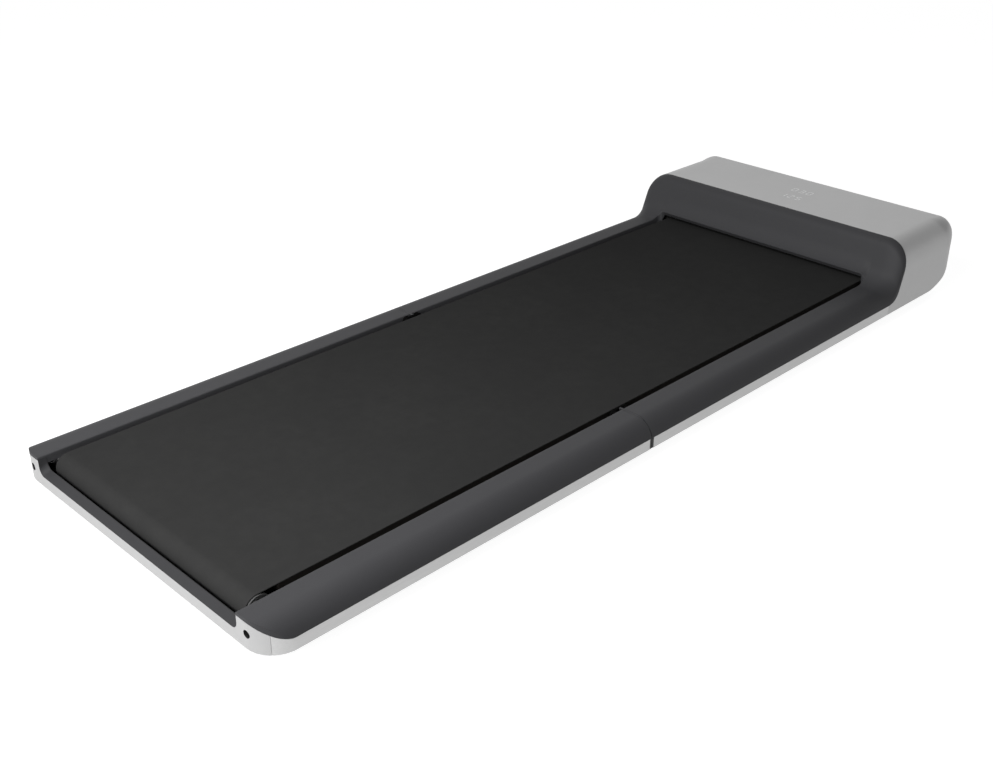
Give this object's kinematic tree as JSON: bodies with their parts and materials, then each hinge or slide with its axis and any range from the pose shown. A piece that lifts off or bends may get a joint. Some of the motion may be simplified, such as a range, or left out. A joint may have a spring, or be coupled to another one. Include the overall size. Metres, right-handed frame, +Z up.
{
  "type": "folding walking pad",
  "caption": "Flat folding walking pad with a belt deck, silver side rails, dark rail covers and a low silver drive head; folds in half at a mid seam.",
  "frame": {"origin": "on the floor under the middle of the flat pad's box", "axes": "+X along the pad towards the drive head, +Y to the walker's left, +Z up"},
  "size_m": [1.432, 0.53, 0.129],
  "materials": {
    "silver": "satin",
    "dark_cover": "matte",
    "belt": "fine texture",
    "black_plastic": "matte",
    "switch": "gloss",
    "rubber": "matte",
    "board": "laminated",
    "black_steel": "powder coat",
    "steel": "machined",
    "alloy": "cast",
    "circuit": "satin",
    "figures": "lit"
  },
  "bodies": {
    "front_half": {"bearing_blocks": "black_plastic", "control_board": "circuit", "display_board": "circuit", "display_figures": "figures", "drive_belt": "rubber", "front_beams": "black_steel", "front_belt": "belt", "front_cover": "dark_cover", "front_deck": "board", "front_deck_pads": "rubber", "front_deck_screws": "steel", "front_end_caps": "black_plastic", "front_feet": "rubber", "front_hinge_brackets": "black_steel", "front_hinge_pins": "steel", "front_left_rail": "silver", "front_pan": "black_steel", "front_pan_screws": "steel", "front_right_rail": "silver", "head_cover": "silver", "heat_sink": "alloy", "inner_cable": "rubber", "motor_housing": "alloy", "motor_mount": "black_steel", "power_inlet": "black_plastic", "switch_frame": "black_plastic", "wheel_brackets": "black_steel"},
    "rear_half": {"rear_beams": "black_steel", "rear_belt": "belt", "rear_deck": "board", "rear_deck_pads": "rubber", "rear_deck_screws": "steel", "rear_end_caps": "black_plastic", "rear_feet": "rubber", "rear_hinge_brackets": "black_steel", "rear_hinge_pins": "steel", "rear_left_cover": "dark_cover", "rear_left_rail": "silver", "rear_pan": "black_steel", "rear_pan_screws": "steel", "rear_right_cover": "dark_cover", "rear_right_rail": "silver", "tail_cap": "silver", "tail_strip": "dark_cover", "tension_stands": "black_steel"},
    "hinge_links": {"hinge_links": "black_steel", "seam_strips": "dark_cover"},
    "drive_roller": {"drive_roller": "steel", "driven_pulley": "alloy"},
    "motor_rotor": {"motor_rotor": "steel", "motor_pulley": "alloy"},
    "axle_carriage": {"rear_axle": "steel", "axle_blocks": "black_plastic"},
    "rear_roller": {"rear_roller": "steel", "rear_bearings": "steel"},
    "left_tension_bolt": {"left_tension_bolt": "steel"},
    "right_tension_bolt": {"right_tension_bolt": "steel"},
    "left_wheel": {"left_wheel": "black_plastic"},
    "right_wheel": {"right_wheel": "black_plastic"},
    "switch_rocker": {"switch_rocker": "switch"}
  },
  "joints": [
    {"name": "link_fold", "type": "hinge", "parent": "front_half", "child": "hinge_links", "pos_m": [-0.0925, 0, 0.0535], "axis": [0, 1, 0], "range_deg": [0, 90]},
    {"name": "rear_fold", "type": "hinge", "parent": "hinge_links", "child": "rear_half", "pos_m": [-0.1145, 0, 0.0535], "axis": [0, 1, 0], "range_deg": [0, 90]},
    {"name": "drive_roller_spin", "type": "hinge", "parent": "front_half", "child": "drive_roller", "pos_m": [0.545, 0, 0.0392], "axis": [0, 1, 0], "continuous": true},
    {"name": "motor_spin", "type": "hinge", "parent": "front_half", "child": "motor_rotor", "pos_m": [0.60915, 0.124, 0.062], "axis": [0, 1, 0], "continuous": true},
    {"name": "tension_slide", "type": "slide", "parent": "rear_half", "child": "axle_carriage", "axis": [1, 0, 0], "range_m": [0, 0.006]},
    {"name": "rear_roller_spin", "type": "hinge", "parent": "axle_carriage", "child": "rear_roller", "pos_m": [-0.6815, 0, 0.0392], "axis": [0, 1, 0], "continuous": true},
    {"name": "left_bolt_turn", "type": "hinge", "parent": "rear_half", "child": "left_tension_bolt", "pos_m": [-0.69, 0.2296, 0.0392], "axis": [1, 0, 0], "range_deg": [-2161, 0]},
    {"name": "left_wheel_spin", "type": "hinge", "parent": "front_half", "child": "left_wheel", "pos_m": [0.685, 0.2, 0.033], "axis": [0, 1, 0], "continuous": true},
    {"name": "right_bolt_turn", "type": "hinge", "parent": "rear_half", "child": "right_tension_bolt", "pos_m": [-0.69, -0.2296, 0.0392], "axis": [1, 0, 0], "range_deg": [-2161, 0]},
    {"name": "right_wheel_spin", "type": "hinge", "parent": "front_half", "child": "right_wheel", "pos_m": [0.685, -0.2, 0.033], "axis": [0, 1, 0], "continuous": true},
    {"name": "switch_press", "type": "hinge", "parent": "front_half", "child": "switch_rocker", "pos_m": [0.7094, -0.105, 0.08], "axis": [0, 1, 0], "range_deg": [0, 14]}
  ],
  "couplings": [
    {"joint": "motor_spin", "follows": "drive_roller_spin", "ratio": 2},
    {"joint": "rear_roller_spin", "follows": "drive_roller_spin", "ratio": 1},
    {"joint": "left_bolt_turn", "follows": "tension_slide", "rad_per_m": -6283.2},
    {"joint": "right_bolt_turn", "follows": "tension_slide", "rad_per_m": -6283.2}
  ]
}
